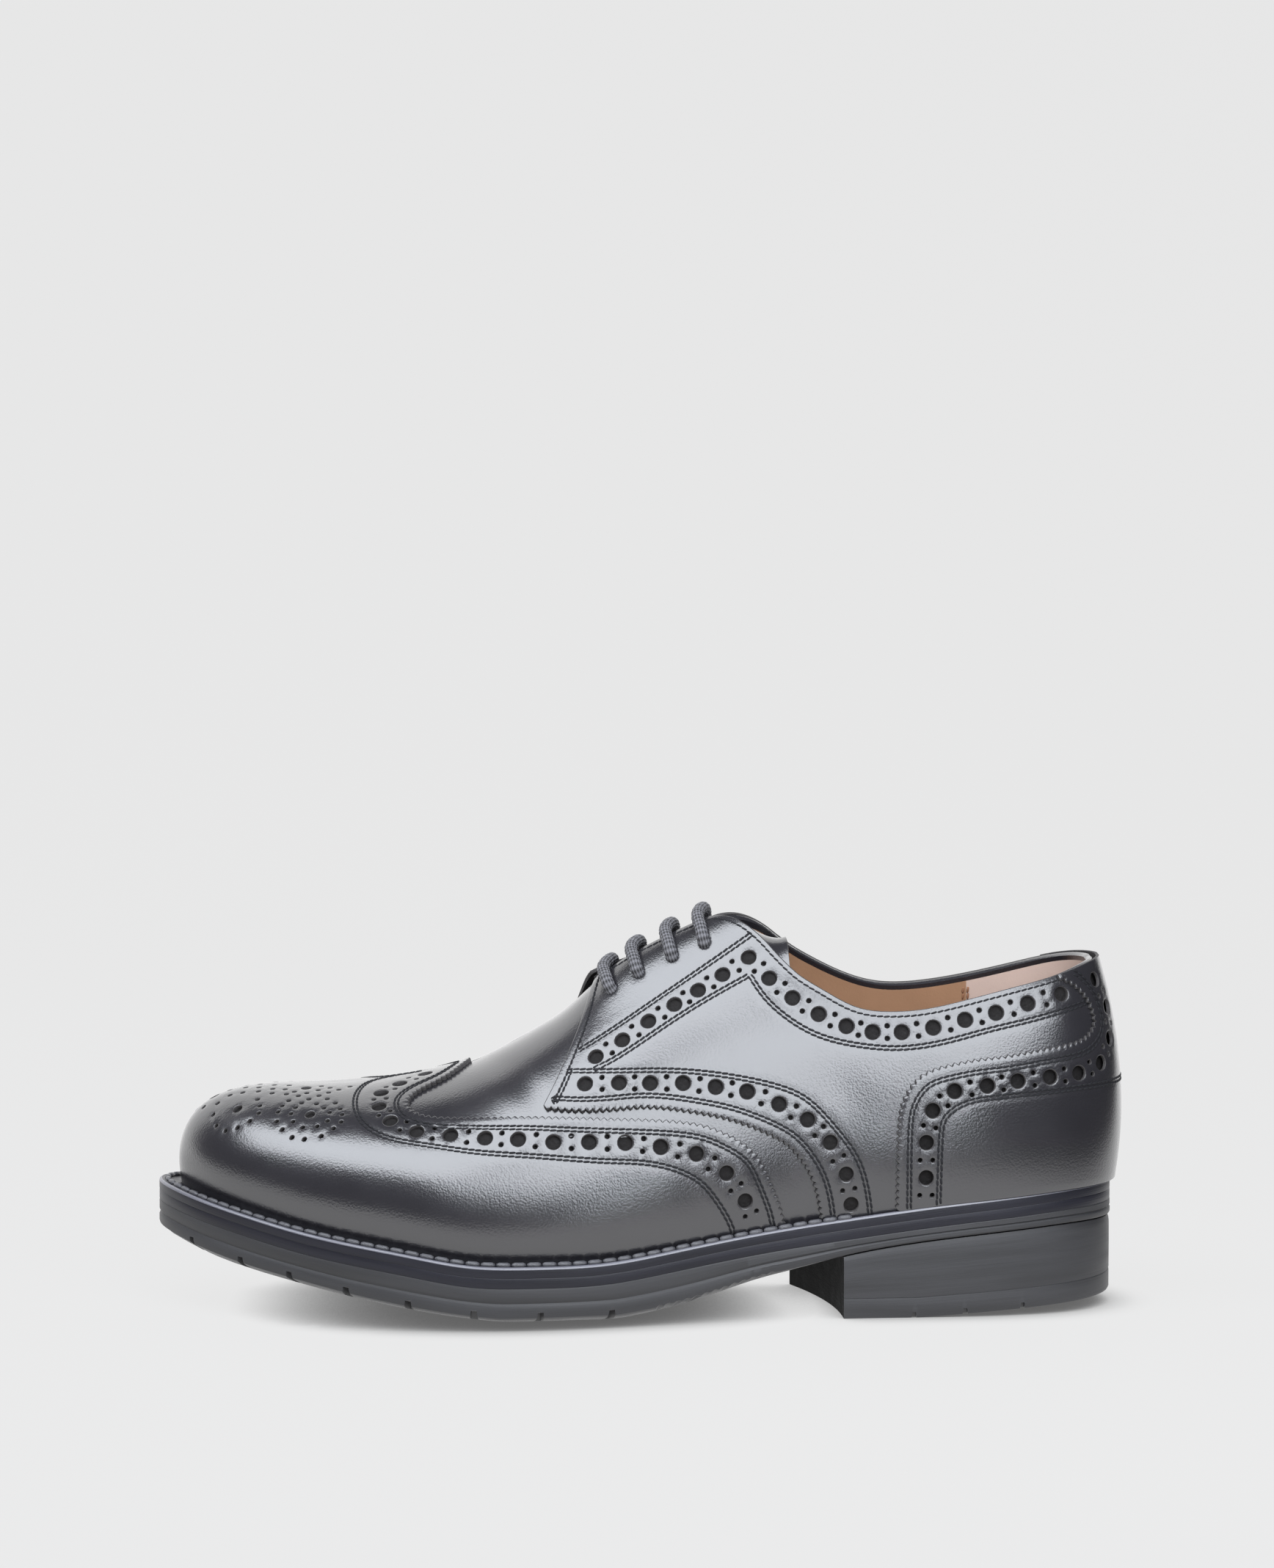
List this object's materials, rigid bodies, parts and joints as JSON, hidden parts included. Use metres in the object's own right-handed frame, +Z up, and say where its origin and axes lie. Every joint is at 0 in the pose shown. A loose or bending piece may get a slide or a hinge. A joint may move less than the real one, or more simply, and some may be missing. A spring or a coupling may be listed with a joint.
{
  "type": "full brogue derby shoe",
  "caption": "Black leather derby shoe with a punched wing tip, open-laced quarters, heel counter, stitched welt and lugged rubber sole on a stacked heel.",
  "frame": {"origin": "on the floor under the middle of the shoe's outline", "axes": "+X from toe to heel, +Y to the inner (medial) side, +Z up"},
  "size_m": [0.3046, 0.1063, 0.1235],
  "materials": {
    "leather": "polished",
    "lining": "matte",
    "sole_edge": "waxed",
    "rubber": "matte",
    "lace": "braided"
  },
  "bodies": {
    "root": {"upper": "leather", "wing_tip": "leather", "quarter_lateral": "leather", "quarter_medial": "leather", "heel_counter": "leather", "tongue": "leather", "insole": "lining", "welt": "sole_edge", "midsole": "sole_edge", "outsole": "rubber", "heel_stack": "sole_edge", "heel_top_piece": "rubber", "lace_bar_1": "lace", "lace_bar_2": "lace", "lace_bar_3": "lace", "lace_bar_4": "lace"}
  },
  "joints": []
}
